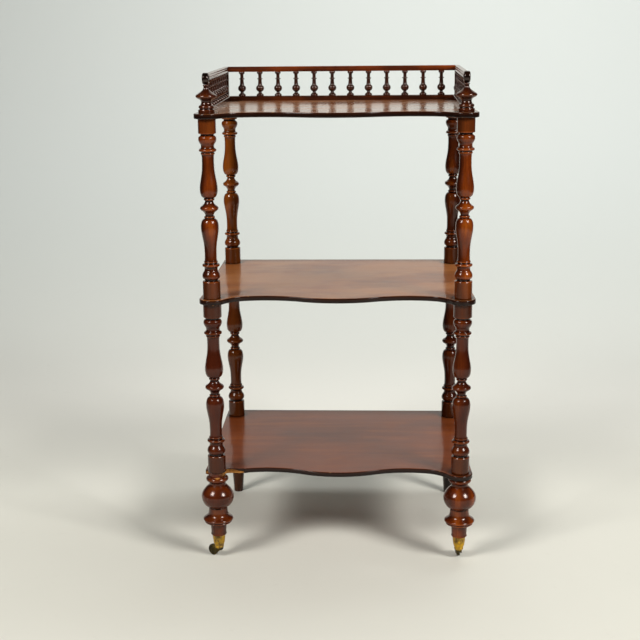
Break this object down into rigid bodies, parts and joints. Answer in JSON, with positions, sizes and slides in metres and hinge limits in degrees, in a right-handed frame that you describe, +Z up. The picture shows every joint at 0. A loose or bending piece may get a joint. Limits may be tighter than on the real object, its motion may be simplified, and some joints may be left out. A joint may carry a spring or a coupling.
{
  "type": "etagere",
  "caption": "Victorian style whatnot: serpentine shelves on turned posts, a spindle gallery round the top, ball feet in front on brass swivel castors",
  "frame": {"origin": "on the floor under the middle of the plan", "axes": "+Z up, +Y to the back, +X to the right seen from the front"},
  "size_m": [0.6348, 0.5074, 1.1169],
  "materials": {
    "case_wood": "french polished mahogany",
    "shelf_wood": "french polished mahogany",
    "dowel_wood": "bare beech",
    "castor_brass": "aged brass",
    "screw_steel": "plain steel"
  },
  "bodies": {
    "carcase": {"back_spindles": "case_wood", "bottom_shelf": "shelf_wood", "caster_cup_left": "castor_brass", "caster_cup_right": "castor_brass", "corner_stile_left": "case_wood", "corner_stile_right": "case_wood", "cup_screw_left": "castor_brass", "cup_screw_right": "castor_brass", "finial_left": "case_wood", "finial_right": "case_wood", "front_foot_left": "case_wood", "front_foot_right": "case_wood", "gallery_back_bottom_rail": "case_wood", "gallery_back_top_rail": "case_wood", "gallery_screws": "screw_steel", "gallery_side_bottom_rail_left": "case_wood", "gallery_side_bottom_rail_right": "case_wood", "gallery_side_top_rail_left": "case_wood", "gallery_side_top_rail_right": "case_wood", "lower_post_front_left": "case_wood", "lower_post_front_right": "case_wood", "lower_post_rear_left": "case_wood", "lower_post_rear_right": "case_wood", "middle_shelf": "shelf_wood", "rail_drum_left": "case_wood", "rail_drum_right": "case_wood", "rear_leg_left": "case_wood", "rear_leg_right": "case_wood", "rear_top_dowels": "dowel_wood", "side_spindles_left": "case_wood", "side_spindles_right": "case_wood", "top_shelf": "shelf_wood", "upper_post_front_left": "case_wood", "upper_post_front_right": "case_wood", "upper_post_rear_left": "case_wood", "upper_post_rear_right": "case_wood"},
    "left_swivel": {"caster_fork_left": "castor_brass", "pintle_washer_left": "castor_brass", "caster_axle_left": "castor_brass"},
    "left_wheel": {"caster_wheel_left": "castor_brass"},
    "right_swivel": {"caster_fork_right": "castor_brass", "pintle_washer_right": "castor_brass", "caster_axle_right": "castor_brass"},
    "right_wheel": {"caster_wheel_right": "castor_brass"}
  },
  "joints": [
    {"name": "left_swivel_turn", "type": "hinge", "parent": "carcase", "child": "left_swivel", "pos_m": [-0.28, -0.2162, 0.0229], "axis": [0, 0, 1], "continuous": true},
    {"name": "left_wheel_roll", "type": "hinge", "parent": "left_swivel", "child": "left_wheel", "pos_m": [-0.29537, -0.20503, 0.013], "axis": [-0.5878, -0.809, 0], "continuous": true},
    {"name": "right_swivel_turn", "type": "hinge", "parent": "carcase", "child": "right_swivel", "pos_m": [0.28, -0.2162, 0.0229], "axis": [0, 0, 1], "continuous": true},
    {"name": "right_wheel_roll", "type": "hinge", "parent": "right_swivel", "child": "right_wheel", "pos_m": [0.28, -0.1972, 0.013], "axis": [-1, 0, 0], "continuous": true}
  ]
}
